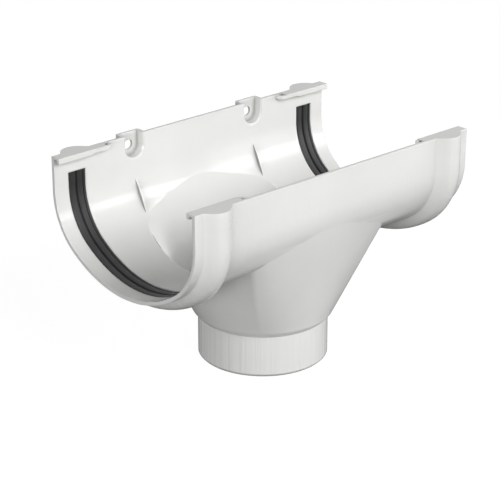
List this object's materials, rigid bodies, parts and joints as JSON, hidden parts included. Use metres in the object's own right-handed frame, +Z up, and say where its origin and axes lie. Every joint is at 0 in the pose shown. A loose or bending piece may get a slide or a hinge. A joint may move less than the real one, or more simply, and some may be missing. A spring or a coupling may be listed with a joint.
{
  "type": "gutter outlet",
  "caption": "Half-round gutter outlet: open trough with sealed socket ends and rim hooks, tapering hopper below and round downpipe spigot.",
  "frame": {"origin": "centre of the spigot's bottom ring, which is also the centre of the bounding box's underside", "axes": "+X along the gutter run, +Y back to the fascia board, +Z up, away from the downpipe"},
  "size_m": [0.222, 0.1454, 0.1387],
  "materials": {
    "moulded_plastic": "glossy white moulded PVC-U",
    "seal_rubber": "matt black EPDM"
  },
  "bodies": {
    "root": {"outlet_body": "moulded_plastic", "seal_left": "seal_rubber", "seal_right": "seal_rubber"}
  },
  "joints": []
}
